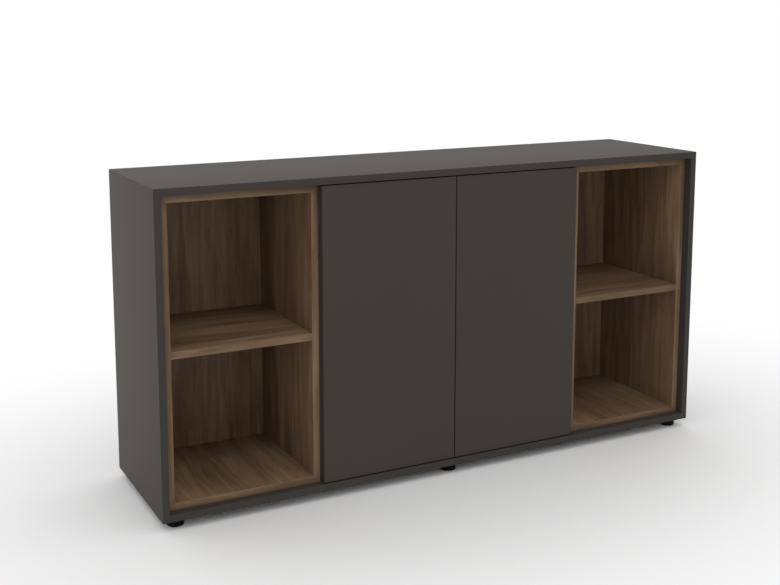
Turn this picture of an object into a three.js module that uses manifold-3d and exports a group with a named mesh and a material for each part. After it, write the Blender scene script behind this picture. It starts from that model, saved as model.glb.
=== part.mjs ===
// Office credenza: a mitred melamine carcass on levelling feet, with an open walnut niche at each end
// and a cupboard behind two push-to-open doors in the middle.
// Millimetres. +X runs to the right, +Y to the back and +Z up. The origin is on the floor, under the middle.

import * as THREE from 'three';
import { mergeVertices } from 'three/addons/utils/BufferGeometryUtils.js';
import Module from 'manifold-3d';

const wasm = await Module();
wasm.setup();

// Carcass
const WIDTH = 1600;
const DEPTH = 400;
const CARCASS_HEIGHT = 800;
const CARCASS_BOARD = 18;
const MITRE_GAP = 0.3;
const ASSEMBLY_GAP = 0.2;

// Back panel, held in a groove that runs round the carcass
const BACK_BOARD = 8;
const BACK_INSET = 10;
const GROOVE_DEPTH = 8;
const GROOVE_END_PLAY = 1;

// Doors
const DOOR_BOARD = 18;
const DOOR_SETBACK = 3;
const DOOR_GAP = 3;
const BUFFER_GAP = 2;

// Niche boxes
const NICHE_WIDTH = 397;
const NICHE_BOARD = 18;
const NICHE_BACK_BOARD = 12;
const NICHE_SIDE_GAP = 1.5;
const NICHE_TOP_GAP = 2;
const NICHE_SHELF_BOARD = 18;

// Cupboard
const PARTITION_BOARD = 18;
const PARTITION_GAP = 0.5;
const CUPBOARD_SHELF_BOARD = 18;
const CUPBOARD_SHELF_SETBACK = 22;
const CUPBOARD_SHELF_PLAY = 0.8;

// Shelf pins and the rows of holes that they plug into
const PIN_RADIUS = 2.4;
const PIN_HOLE_PLAY = 0.25;
const PIN_PLUG = 9;
const PIN_TONGUE = 8;
const PIN_TONGUE_THICKNESS = 3;
const PIN_TONGUE_WIDTH = 10;
const PIN_EDGE_DISTANCE = 50;
const PIN_HOLE_PITCH = 32;
const PIN_HOLES_EACH_WAY = 1;

// Cup hinges, measured from the back corner of the door's hinge edge
const HINGE_END_DISTANCE = 100;
const HINGE_OPENING = 105;
const HINGE_AXIS_IN = 6;
const HINGE_AXIS_AHEAD = 11.5;
const CUP_RADIUS = 17.5;
const CUP_EDGE_DISTANCE = 5;
const CUP_DEPTH = 12;
const CUP_PLAY = 0.4;
const CUP_WALL = 1;
const FLANGE_THICKNESS = 1.2;
const FLANGE_WIDTH = 17;
const FLANGE_LENGTH = 62;
const CUP_PIVOT_IN = 11;
const CUP_PIVOT_AHEAD = 2.2;
const ARM_PIVOT_RADIUS = 27;
const LINK_SLACK = 2.6;
const LINK_EYE_RADIUS = 3;
const LINK_TIP_RADIUS = 1.7;
const LINK_THICKNESS = 2;
const LINK_DEPTH = 8;
const HINGE_PIN_RADIUS = 1.4;
const HINGE_PIN_PLAY = 0.3;
const ARM_EAR = 2;
const ARM_COVER = 2.6;
const ARM_LENGTH = 60;
const ARM_SLOT_PLAY = 0.4;
const ARM_SLOT_BEHIND_PIN = 10;
const PLATE_THICKNESS = 6;
const PLATE_WING_THICKNESS = 3;
const PLATE_WING_LENGTH = 48;
const PLATE_WING_WIDTH = 14;
const PLATE_SETBACK = 10;
const PLATE_LENGTH = 50;

// Push latches under the top panel
const LATCH_FROM_MIDDLE = 45;
const LATCH_WIDTH = 16;
const LATCH_HEIGHT = 24;
const LATCH_LENGTH = 80;
const LATCH_SETBACK = 1;
const LATCH_END_WALL = 6;
const PLUNGER_RADIUS = 3;
const PLUNGER_PLAY = 0.3;
const PLUNGER_LENGTH = 62;
const PLUNGER_REACH_GAP = 0.3;
const STRIKE_THICKNESS = 1.2;
const STRIKE_WIDTH = 26;
const STRIKE_HEIGHT = 14;

// Levelling feet
const FOOT_HEIGHT = 23;
const FOOT_SIDE_INSET = 41;
const FOOT_FRONT_INSET = 38;
const FOOT_PAD_RADIUS = 21;
const FOOT_PAD_EDGE = 12;
const FOOT_CHAMFER = 2;
const FOOT_STEM_RADIUS = 4;
const FOOT_STEM_PLAY = 0.3;
const FOOT_STEM_LENGTH = 18;
const SOCKET_FLANGE_RADIUS = 18;
const SOCKET_FLANGE = 6;
const SOCKET_BOSS_RADIUS = 7;
const SOCKET_BOSS_LENGTH = 12;
const SOCKET_BORE_PLAY = 0.3;

const ROUND_STEPS = 20;

const anthracite = new THREE.MeshStandardMaterial({ color: 0x45413e, roughness: 0.55, metalness: 0 });
const walnut = new THREE.MeshStandardMaterial({ color: 0x6b5241, roughness: 0.5, metalness: 0 });
const backBoard = new THREE.MeshStandardMaterial({ color: 0x4a4643, roughness: 0.65, metalness: 0 });
const nickelSteel = new THREE.MeshStandardMaterial({ color: 0xb9babc, roughness: 0.3, metalness: 1 });
const greyPlastic = new THREE.MeshStandardMaterial({ color: 0x4b4d50, roughness: 0.5, metalness: 0 });
const blackPlastic = new THREE.MeshStandardMaterial({ color: 0x0d0d0d, roughness: 0.45, metalness: 0 });

// Levels and planes that the pieces share
const carcassBottom = FOOT_HEIGHT;
const carcassTop = carcassBottom + CARCASS_HEIGHT;
const insideBottom = carcassBottom + CARCASS_BOARD;
const insideTop = carcassTop - CARCASS_BOARD;
const insideHalfWidth = WIDTH / 2 - CARCASS_BOARD;
const carcassFront = -DEPTH / 2;
const carcassRear = DEPTH / 2;
const backRear = carcassRear - BACK_INSET;
const backFront = backRear - BACK_BOARD;
const doorFront = carcassFront + DOOR_SETBACK;
const doorBack = doorFront + DOOR_BOARD;
const innerFront = doorBack + BUFFER_GAP;
const innerRear = backFront - ASSEMBLY_GAP;
const nicheOuter = insideHalfWidth - NICHE_SIDE_GAP;
const nicheInner = nicheOuter - NICHE_WIDTH;
const partitionOuter = nicheInner - PARTITION_GAP;
const partitionInner = partitionOuter - PARTITION_BOARD;
const doorEdge = nicheInner - DOOR_GAP;
const doorFreeEdge = DOOR_GAP / 2;
const doorBottom = insideBottom + DOOR_GAP;
const doorTop = insideTop - DOOR_GAP;
const hingeLevels = { lower: doorBottom + HINGE_END_DISTANCE, upper: doorTop - HINGE_END_DISTANCE };
const cupboardShelfBottom = (insideBottom + insideTop - CUPBOARD_SHELF_BOARD) / 2;
const sides = { left: -1, right: 1 };

/** Turns a closed three.js geometry into a solid that can be joined and cut. */
function solidOf(geometry) {
  const bare = geometry.clone();
  bare.deleteAttribute('normal');
  bare.deleteAttribute('uv');
  const merged = mergeVertices(bare, 1e-4);
  const vertProperties = Float32Array.from(merged.attributes.position.array);
  const triVerts = Uint32Array.from(merged.index.array);
  return new wasm.Manifold(new wasm.Mesh({ numProp: 3, vertProperties, triVerts }));
}

/** Turns a solid back into a three.js geometry. */
function geometryOf(solid) {
  const { vertProperties, triVerts } = solid.getMesh();
  const geometry = new THREE.BufferGeometry();
  geometry.setAttribute('position', new THREE.BufferAttribute(vertProperties, 3));
  geometry.setIndex(new THREE.BufferAttribute(triVerts, 1));
  geometry.computeVertexNormals();
  return geometry;
}

/** Joins overlapping geometries into one. */
function join(first, ...others) {
  return geometryOf(others.reduce((solid, other) => solid.add(solidOf(other)), solidOf(first)));
}

/** Cuts tools out of a geometry. */
function cut(geometry, ...tools) {
  return geometryOf(tools.reduce((solid, tool) => solid.subtract(solidOf(tool)), solidOf(geometry)));
}

/** A rectangular block between two corners. */
function block([x0, y0, z0], [x1, y1, z1]) {
  const geometry = new THREE.BoxGeometry(x1 - x0, y1 - y0, z1 - z0);
  return geometry.translate((x0 + x1) / 2, (y0 + y1) / 2, (z0 + z1) / 2);
}

/** A cylinder of some length whose axis runs along X, Y or Z through the given middle point. */
function rod(axis, radius, length, [x, y, z]) {
  const geometry = new THREE.CylinderGeometry(radius, radius, length, ROUND_STEPS);
  if (axis === 'x') geometry.rotateZ(Math.PI / 2);
  if (axis === 'z') geometry.rotateX(Math.PI / 2);
  return geometry.translate(x, y, z);
}

/** A turned piece about the Y axis from [radius, height] points, listed upwards along its outside. */
function turned(points) {
  return new THREE.LatheGeometry(points.map(([radius, height]) => new THREE.Vector2(radius, height)), ROUND_STEPS);
}

/** Adds a named piece to a group. */
function addPiece(group, name, geometry, material) {
  const mesh = new THREE.Mesh(geometry, material);
  mesh.name = name;
  group.add(mesh);
}

/** One board of a mitred frame: an outline of [x, z] points that runs from front to rear. */
function mitredBoard(outline, front, rear) {
  const shape = new THREE.Shape(outline.map(([x, z]) => new THREE.Vector2(x, z)));
  const geometry = new THREE.ExtrudeGeometry(shape, { depth: rear - front, bevelEnabled: false });
  return geometry.rotateX(Math.PI / 2).translate(0, rear, 0);
}

/** The four boards of a frame with mitred corners, the upright ones at full height. */
function mitredFrame({ left, right, bottom, top, board, front, rear }) {
  const short = MITRE_GAP * Math.SQRT2;
  const level = (outer, inner) => [
    [left + short, outer],
    [left + board + short, inner],
    [right - board - short, inner],
    [right - short, outer],
  ];
  const upright = (outer, inner) => [
    [outer, bottom],
    [inner, bottom + board],
    [inner, top - board],
    [outer, top],
  ];
  return {
    top: mitredBoard(level(top, top - board), front, rear),
    bottom: mitredBoard(level(bottom, bottom + board), front, rear),
    left: mitredBoard(upright(left, left + board), front, rear),
    right: mitredBoard(upright(right, right - board), front, rear),
  };
}

/** Places of the levelling feet: a row of three near the front edge and a row near the rear edge. */
function footPlaces() {
  const across = { left: -WIDTH / 2 + FOOT_SIDE_INSET, middle: 0, right: WIDTH / 2 - FOOT_SIDE_INSET };
  const along = { front: carcassFront + FOOT_FRONT_INSET, rear: carcassRear - FOOT_FRONT_INSET };
  return Object.entries(along).flatMap(([row, y]) =>
    Object.entries(across).map(([column, x]) => ({ name: `${row}_${column}_foot`, x, y })));
}

/** The outer shell: four mitred panels, grooved for the back panel. */
function buildCarcass() {
  const carcass = new THREE.Group();
  const frame = mitredFrame({
    left: -WIDTH / 2,
    right: WIDTH / 2,
    bottom: carcassBottom,
    top: carcassTop,
    board: CARCASS_BOARD,
    front: carcassFront,
    rear: carcassRear,
  });
  const grooveX = insideHalfWidth + GROOVE_DEPTH;
  const groove = block(
    [-grooveX, backFront - ASSEMBLY_GAP, insideBottom - GROOVE_DEPTH],
    [grooveX, backRear + ASSEMBLY_GAP, insideTop + GROOVE_DEPTH],
  );
  const boreLength = SOCKET_BOSS_LENGTH + SOCKET_BORE_PLAY;
  const bores = footPlaces().map(({ x, y }) =>
    rod('z', SOCKET_BOSS_RADIUS + SOCKET_BORE_PLAY, 2 * boreLength, [x, y, carcassBottom]));
  addPiece(carcass, 'top_panel', cut(frame.top, groove), anthracite);
  addPiece(carcass, 'bottom_panel', cut(frame.bottom, groove, ...bores), anthracite);
  addPiece(carcass, 'left_side_panel', cut(frame.left, groove), anthracite);
  addPiece(carcass, 'right_side_panel', cut(frame.right, groove), anthracite);
  const backX = grooveX - GROOVE_END_PLAY;
  const backReach = GROOVE_DEPTH - GROOVE_END_PLAY;
  addPiece(carcass, 'back_panel', block(
    [-backX, backFront, insideBottom - backReach],
    [backX, backRear, insideTop + backReach],
  ), backBoard);
  return carcass;
}

/** An open walnut niche: a mitred box with its own back and one fixed shelf at mid height. */
function buildNiche(side, sign) {
  const niche = new THREE.Group();
  niche.position.x = sign * (nicheOuter + nicheInner) / 2;
  const half = NICHE_WIDTH / 2;
  const bottom = insideBottom + ASSEMBLY_GAP;
  const top = insideTop - NICHE_TOP_GAP;
  const frame = mitredFrame({
    left: -half,
    right: half,
    bottom,
    top,
    board: NICHE_BOARD,
    front: innerFront,
    rear: innerRear,
  });
  addPiece(niche, `${side}_niche_top`, frame.top, walnut);
  addPiece(niche, `${side}_niche_floor`, frame.bottom, walnut);
  addPiece(niche, `${side}_niche_outer_side`, sign < 0 ? frame.left : frame.right, walnut);
  addPiece(niche, `${side}_niche_inner_side`, sign < 0 ? frame.right : frame.left, walnut);
  const clearHalf = half - NICHE_BOARD - ASSEMBLY_GAP;
  const clearBottom = bottom + NICHE_BOARD + ASSEMBLY_GAP;
  const clearTop = top - NICHE_BOARD - ASSEMBLY_GAP;
  const backFace = innerRear - NICHE_BACK_BOARD;
  addPiece(niche, `${side}_niche_back`,
    block([-clearHalf, backFace, clearBottom], [clearHalf, innerRear, clearTop]), walnut);
  const shelfMiddle = (bottom + top) / 2;
  addPiece(niche, `${side}_niche_shelf`, block(
    [-clearHalf, innerFront, shelfMiddle - NICHE_SHELF_BOARD / 2],
    [clearHalf, backFace - ASSEMBLY_GAP, shelfMiddle + NICHE_SHELF_BOARD / 2],
  ), walnut);
  return niche;
}

/** The upright boards between niches and cupboard, the loose cupboard shelf and its four pins. */
function buildCupboard() {
  const cupboard = new THREE.Group();
  const shelfFront = innerFront + CUPBOARD_SHELF_SETBACK;
  const shelfRear = innerRear;
  const shelfHalf = partitionInner - CUPBOARD_SHELF_PLAY;
  const tongueTop = cupboardShelfBottom - ASSEMBLY_GAP;
  const pinLevel = tongueTop - PIN_TONGUE_THICKNESS / 2;
  const pinRows = { front: shelfFront + PIN_EDGE_DISTANCE, rear: shelfRear - PIN_EDGE_DISTANCE };
  const holeRadius = PIN_RADIUS + PIN_HOLE_PLAY;
  const holeDepth = PIN_PLUG + PIN_HOLE_PLAY;
  for (const [side, sign] of Object.entries(sides)) {
    const holes = [];
    for (const y of Object.values(pinRows)) {
      for (let step = -PIN_HOLES_EACH_WAY; step <= PIN_HOLES_EACH_WAY; step += 1) {
        const level = pinLevel + step * PIN_HOLE_PITCH;
        holes.push(rod('x', holeRadius, 2 * holeDepth, [sign * partitionInner, y, level]));
      }
    }
    const board = block(
      [Math.min(sign * partitionInner, sign * partitionOuter), innerFront, insideBottom + ASSEMBLY_GAP],
      [Math.max(sign * partitionInner, sign * partitionOuter), innerRear, insideTop - ASSEMBLY_GAP],
    );
    addPiece(cupboard, `${side}_partition`, cut(board, ...holes), anthracite);
    for (const [row, y] of Object.entries(pinRows)) {
      const plugMiddle = sign * (partitionInner + PIN_PLUG / 2 - ASSEMBLY_GAP);
      const plug = rod('x', PIN_RADIUS, PIN_PLUG, [plugMiddle, y, pinLevel]);
      const tongueEnds = [sign * (partitionInner - ASSEMBLY_GAP), sign * (partitionInner - PIN_TONGUE)];
      const tongue = block(
        [Math.min(...tongueEnds), y - PIN_TONGUE_WIDTH / 2, tongueTop - PIN_TONGUE_THICKNESS],
        [Math.max(...tongueEnds), y + PIN_TONGUE_WIDTH / 2, tongueTop],
      );
      const stub = rod('x', PIN_TONGUE_THICKNESS / 2, PIN_TONGUE, [sign * partitionInner, y, pinLevel]);
      addPiece(cupboard, `${side}_${row}_shelf_pin`, join(plug, stub, tongue), nickelSteel);
    }
  }
  addPiece(cupboard, 'cupboard_shelf', block(
    [-shelfHalf, shelfFront, cupboardShelfBottom],
    [shelfHalf, shelfRear, cupboardShelfBottom + CUPBOARD_SHELF_BOARD],
  ), anthracite);
  return cupboard;
}

/** A door with its two cup bores, and the strike plate that its push latch presses on. */
function buildDoor(side, sign) {
  const door = new THREE.Group();
  const edges = [sign * doorFreeEdge, sign * doorEdge];
  const panel = block(
    [Math.min(...edges), doorFront, doorBottom],
    [Math.max(...edges), doorBack, doorTop],
  );
  const cupX = sign * (doorEdge - CUP_EDGE_DISTANCE - CUP_RADIUS);
  const bores = Object.values(hingeLevels).map((level) =>
    rod('y', CUP_RADIUS, 2 * CUP_DEPTH, [cupX, doorBack, level]));
  addPiece(door, `${side}_door`, cut(panel, ...bores), anthracite);
  const strikeX = sign * LATCH_FROM_MIDDLE;
  const strikeBack = doorBack + ASSEMBLY_GAP + STRIKE_THICKNESS;
  const strikeLevel = insideTop - ASSEMBLY_GAP - LATCH_HEIGHT / 2;
  addPiece(door, `${side}_strike_plate`, block(
    [strikeX - STRIKE_WIDTH / 2, doorBack + ASSEMBLY_GAP, strikeLevel - STRIKE_HEIGHT / 2],
    [strikeX + STRIKE_WIDTH / 2, strikeBack, strikeLevel + STRIKE_HEIGHT / 2],
  ), nickelSteel);
  return door;
}

/** Cup, link, arm and mounting plate of a left-hand hinge, about the back corner of its door's edge. */
function hingePieces() {
  const axis = new THREE.Vector2(HINGE_AXIS_IN, -HINGE_AXIS_AHEAD);
  const cupPivot = new THREE.Vector2(CUP_PIVOT_IN, -CUP_PIVOT_AHEAD);
  const halfOpening = THREE.MathUtils.degToRad(HINGE_OPENING / 2);
  const armPivot = cupPivot.clone().sub(axis).setLength(ARM_PIVOT_RADIUS)
    .rotateAround(new THREE.Vector2(), -halfOpening).add(axis);
  const reach = cupPivot.clone().sub(armPivot);
  const linkLength = reach.length() - LINK_SLACK;
  const linkTip = armPivot.clone().add(reach.clone().setLength(linkLength));

  const cupMiddle = CUP_EDGE_DISTANCE + CUP_RADIUS;
  const cupOuter = CUP_RADIUS - CUP_PLAY;
  const cupInner = cupOuter - CUP_WALL;
  const cupFloor = -CUP_DEPTH + ASSEMBLY_GAP;
  const flangeBack = ASSEMBLY_GAP + FLANGE_THICKNESS;
  const bowl = turned([
    [0, cupFloor],
    [cupOuter, cupFloor],
    [cupOuter, flangeBack],
    [cupInner, flangeBack],
    [cupInner, cupFloor + CUP_WALL],
    [0, cupFloor + CUP_WALL],
  ]);
  const rimCuts = [-1, 1].map((way) => block(
    [Math.min(way * FLANGE_WIDTH / 2, way * CUP_RADIUS), 0, -CUP_RADIUS],
    [Math.max(way * FLANGE_WIDTH / 2, way * CUP_RADIUS), 2 * flangeBack, CUP_RADIUS],
  ));
  const flange = block(
    [-FLANGE_WIDTH / 2, ASSEMBLY_GAP, -FLANGE_LENGTH / 2],
    [FLANGE_WIDTH / 2, flangeBack, FLANGE_LENGTH / 2],
  );
  const mouth = rod('y', (cupInner + cupOuter) / 2, 2 * CUP_DEPTH, [0, 0, 0]);
  const cup = join(cut(bowl, ...rimCuts), cut(flange, mouth)).translate(cupMiddle, 0, 0);

  const bar = new THREE.BoxGeometry(linkLength, LINK_THICKNESS, LINK_DEPTH)
    .rotateZ(reach.angle())
    .translate((armPivot.x + linkTip.x) / 2, (armPivot.y + linkTip.y) / 2, 0);
  const eye = rod('z', LINK_EYE_RADIUS, LINK_DEPTH, [armPivot.x, armPivot.y, 0]);
  const tip = rod('z', LINK_TIP_RADIUS, LINK_DEPTH, [linkTip.x, linkTip.y, 0]);
  const eyeBore = rod('z', HINGE_PIN_RADIUS + HINGE_PIN_PLAY, 2 * LINK_DEPTH, [armPivot.x, armPivot.y, 0]);
  const link = cut(join(eye, bar, tip), eyeBore);

  const partitionFace = doorEdge - partitionInner;
  const plateFoot = partitionFace + ASSEMBLY_GAP;
  const plateTop = plateFoot + PLATE_THICKNESS;
  const slotHalf = LINK_DEPTH / 2 + ARM_SLOT_PLAY;
  const armHalf = slotHalf + ARM_EAR;
  const armFoot = plateTop + ASSEMBLY_GAP;
  const armTop = armPivot.x + LINK_EYE_RADIUS;
  const armNose = armPivot.y - ARM_COVER;
  const armBody = block([armFoot, armNose, -armHalf], [armTop, BUFFER_GAP + ARM_LENGTH, armHalf]);
  const slot = block(
    [plateFoot, armNose - LINK_EYE_RADIUS, -slotHalf],
    [armTop + LINK_EYE_RADIUS, armPivot.y + ARM_SLOT_BEHIND_PIN, slotHalf],
  );
  const pin = rod('z', HINGE_PIN_RADIUS, 2 * armHalf, [armPivot.x, armPivot.y, 0]);
  const arm = join(cut(armBody, slot), pin);

  const plateFront = BUFFER_GAP + PLATE_SETBACK;
  const plateRear = plateFront + PLATE_LENGTH;
  const wingMiddle = (plateFront + plateRear) / 2;
  const rail = block([plateFoot, plateFront, -armHalf], [plateTop, plateRear, armHalf]);
  const wing = block(
    [plateFoot, wingMiddle - PLATE_WING_WIDTH / 2, -PLATE_WING_LENGTH / 2],
    [plateFoot + PLATE_WING_THICKNESS, wingMiddle + PLATE_WING_WIDTH / 2, PLATE_WING_LENGTH / 2],
  );
  return { cup, link, arm, plate: join(rail, wing) };
}

/** The two hinges of a door. A hinge is alike above and below, so half a turn about Y swaps its hand. */
function buildHinges(side, sign) {
  const hinges = new THREE.Group();
  for (const [level, height] of Object.entries(hingeLevels)) {
    const hinge = new THREE.Group();
    hinge.position.set(sign * doorEdge, doorBack, height);
    hinge.rotation.y = sign > 0 ? Math.PI : 0;
    for (const [piece, geometry] of Object.entries(hingePieces())) {
      addPiece(hinge, `${side}_${level}_hinge_${piece}`, geometry, nickelSteel);
    }
    hinges.add(hinge);
  }
  return hinges;
}

/** A push latch: a housing under the top panel and the plunger that pushes the door open. */
function buildLatch(side, sign) {
  const latch = new THREE.Group();
  latch.position.set(sign * LATCH_FROM_MIDDLE, 0, insideTop - ASSEMBLY_GAP - LATCH_HEIGHT / 2);
  const front = innerFront + LATCH_SETBACK;
  const body = block(
    [-LATCH_WIDTH / 2, front, -LATCH_HEIGHT / 2],
    [LATCH_WIDTH / 2, front + LATCH_LENGTH, LATCH_HEIGHT / 2],
  );
  const boreDepth = LATCH_LENGTH - LATCH_END_WALL;
  const bore = rod('y', PLUNGER_RADIUS + PLUNGER_PLAY, 2 * boreDepth, [0, front, 0]);
  addPiece(latch, `${side}_latch_housing`, cut(body, bore), greyPlastic);
  const plungerFront = doorBack + ASSEMBLY_GAP + STRIKE_THICKNESS + PLUNGER_REACH_GAP;
  addPiece(latch, `${side}_latch_plunger`,
    rod('y', PLUNGER_RADIUS, PLUNGER_LENGTH, [0, plungerFront + PLUNGER_LENGTH / 2, 0]), blackPlastic);
  return latch;
}

/** A levelling foot: a socket pressed into the bottom panel and the pad whose stem screws into it. */
function buildFoot({ name, x, y }) {
  const foot = new THREE.Group();
  foot.position.set(x, y, 0);
  const flangeTop = FOOT_HEIGHT - ASSEMBLY_GAP;
  const flangeBottom = flangeTop - SOCKET_FLANGE;
  const bossTop = FOOT_HEIGHT + SOCKET_BOSS_LENGTH - ASSEMBLY_GAP;
  const bore = FOOT_STEM_RADIUS + FOOT_STEM_PLAY;
  const socket = turned([
    [bore, flangeBottom],
    [SOCKET_FLANGE_RADIUS, flangeBottom],
    [SOCKET_FLANGE_RADIUS, flangeTop],
    [SOCKET_BOSS_RADIUS, flangeTop],
    [SOCKET_BOSS_RADIUS, bossTop],
    [bore, bossTop],
    [bore, flangeBottom],
  ]).rotateX(Math.PI / 2);
  const padTop = flangeBottom - ASSEMBLY_GAP;
  const pad = turned([
    [0, 0],
    [FOOT_PAD_RADIUS - FOOT_CHAMFER, 0],
    [FOOT_PAD_RADIUS, FOOT_CHAMFER],
    [FOOT_PAD_RADIUS, FOOT_PAD_EDGE],
    [SOCKET_FLANGE_RADIUS, padTop],
    [FOOT_STEM_RADIUS, padTop],
    [FOOT_STEM_RADIUS, padTop + FOOT_STEM_LENGTH],
    [0, padTop + FOOT_STEM_LENGTH],
  ]).rotateX(Math.PI / 2);
  addPiece(foot, `${name}_socket`, socket, blackPlastic);
  addPiece(foot, name, pad, blackPlastic);
  return foot;
}

const credenza = new THREE.Group();
credenza.name = 'office_credenza';
credenza.add(buildCarcass(), buildCupboard());
for (const [side, sign] of Object.entries(sides)) {
  credenza.add(buildNiche(side, sign), buildDoor(side, sign), buildHinges(side, sign), buildLatch(side, sign));
}
for (const place of footPlaces()) {
  credenza.add(buildFoot(place));
}

export default credenza;
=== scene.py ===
"""Office credenza: an anthracite shell with an open walnut niche at each end and two plain doors between.

Metres, where a class doesn't say millimetres. +X runs to the right, +Y to the back and +Z up.
The origin is on the floor, under the middle.
"""

import logging
from collections.abc import Callable, Sequence
from dataclasses import dataclass, field, replace
from enum import Enum
from math import pi, radians

import bmesh
import bpy
from mathutils import Matrix, Vector


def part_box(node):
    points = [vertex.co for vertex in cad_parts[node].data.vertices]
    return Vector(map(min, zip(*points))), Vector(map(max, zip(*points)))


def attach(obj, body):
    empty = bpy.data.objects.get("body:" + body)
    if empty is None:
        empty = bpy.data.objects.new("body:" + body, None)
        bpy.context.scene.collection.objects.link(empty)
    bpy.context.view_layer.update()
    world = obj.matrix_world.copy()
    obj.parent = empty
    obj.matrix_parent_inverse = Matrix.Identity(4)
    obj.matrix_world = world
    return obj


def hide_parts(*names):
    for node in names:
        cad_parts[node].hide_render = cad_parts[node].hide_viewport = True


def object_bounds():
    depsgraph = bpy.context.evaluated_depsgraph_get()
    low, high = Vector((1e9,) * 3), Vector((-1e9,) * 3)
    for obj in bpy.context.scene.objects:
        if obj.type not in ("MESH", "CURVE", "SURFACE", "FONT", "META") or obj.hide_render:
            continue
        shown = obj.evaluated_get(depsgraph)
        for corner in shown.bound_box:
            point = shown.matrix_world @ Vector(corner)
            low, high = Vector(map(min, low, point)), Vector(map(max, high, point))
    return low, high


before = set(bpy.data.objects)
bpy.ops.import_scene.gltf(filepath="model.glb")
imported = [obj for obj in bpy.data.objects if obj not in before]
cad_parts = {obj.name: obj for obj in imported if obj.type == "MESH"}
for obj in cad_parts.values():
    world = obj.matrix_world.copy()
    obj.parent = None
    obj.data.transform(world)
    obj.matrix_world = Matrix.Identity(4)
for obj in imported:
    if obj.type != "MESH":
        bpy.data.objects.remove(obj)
CAD_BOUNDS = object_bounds()

LOG = logging.getLogger("credenza")
MM = 0.001
ROOT = "carcass"

Pair = tuple[float, float]
Point = tuple[float, float, float]
Colour = tuple[float, float, float, float]
PlaceTest = Callable[[Vector, Vector], bool]

WHITE: Colour = (1.0, 1.0, 1.0, 1.0)
NEAR = 0.01 * MM  # A point this close to a face lies on it.
MERGED = 0.001 * MM  # Corners this close are one.
STRAIGHT = 0.9  # From this cosine on, a direction runs along an axis.
SLANTED = 0.1  # Past this cosine with two axes, a direction runs along a mitre.
FLAT = radians(1)  # Faces that meet at less than this are one.
SHARP = radians(25)  # Edges that turn by more than this can be picked.
SMOOTH = radians(32)  # Faces that meet at less than this are shaded as one curve.


class Side(Enum):
    """The two ends of the credenza, with the sign of their X."""

    LEFT = -1
    RIGHT = 1

    @property
    def word(self) -> str:
        """The side as it stands in the names of pieces."""
        return self.name.lower()


class Axis(Enum):
    """The turn that lays a Z-long shape along an axis."""

    X = (0.0, pi / 2, 0.0)
    Y = (-pi / 2, 0.0, 0.0)
    Z = (0.0, 0.0, 0.0)


class Grain(Enum):
    """How wood grain lies: the turn that brings across the grain to X and along the grain to Y."""

    DEEP = (0.0, 0.0, 0.0)
    WIDE = (0.0, 0.0, pi / 2)
    WIDE_EDGE = (-pi / 2, 0.0, pi / 2)
    TALL_BACK = (-pi / 2, 0.0, 0.0)
    TALL_SIDE = (pi / 2, pi / 2, pi)


def linear(hex_colour: str) -> Colour:
    """Turns an sRGB hex colour into a linear one.

    Args:
        hex_colour: The colour as "#rrggbb".

    Returns:
        Linear red, green, blue and an alpha of 1.
    """
    parts = [int(hex_colour[at:at + 2], 16) / 255 for at in (1, 3, 5)]
    red, green, blue = (p / 12.92 if p <= 0.04045 else ((p + 0.055) / 1.055) ** 2.4 for p in parts)
    return red, green, blue, 1.0


def add_node(
    tree: bpy.types.NodeTree,
    kind: str,
    inputs: dict[str | int, object] | None = None,
    stops: Sequence[tuple[float, str]] = (),
    **settings: object,
) -> bpy.types.Node:
    """Adds a node with its settings, values and links.

    Args:
        tree: The tree that gets the node.
        kind: The node's type name.
        inputs: A value, or the output socket to link, for each input by name or place.
        stops: Places and hex colours of a colour ramp.
        **settings: Properties to set on the node.

    Returns:
        The new node.
    """
    node = tree.nodes.new(kind)
    for key, value in settings.items():
        setattr(node, key, value)
    for key, value in (inputs or {}).items():
        if isinstance(value, bpy.types.NodeSocket):
            tree.links.new(value, node.inputs[key])
        else:
            node.inputs[key].default_value = value
    for number, (place, colour) in enumerate(stops):
        elements = node.color_ramp.elements
        element = elements[number] if number < 2 else elements.new(place)
        element.position = place
        element.color = linear(colour)
    return node


@dataclass(frozen=True)
class Finish:
    """A finish that colours pieces.

    Attributes:
        name: Name of the material.
        slot: Name of the material slot that it stands for; not used.
    """

    name: str
    slot: str

    def material(self) -> bpy.types.Material:
        """Makes the material, or finds the one made before.

        Returns:
            The material.
        """
        known = bpy.data.materials.get(self.name)
        if known:
            return known
        made = bpy.data.materials.new(self.name)
        made.use_nodes = True
        shader = made.node_tree.nodes["Principled BSDF"]
        self.dress(made.node_tree, shader)
        return made

    def dress(self, tree: bpy.types.NodeTree, shader: bpy.types.Node) -> None:
        """Sets the shader up.

        Args:
            tree: The material's node tree.
            shader: Its Principled BSDF.
        """
        raise NotImplementedError


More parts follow.
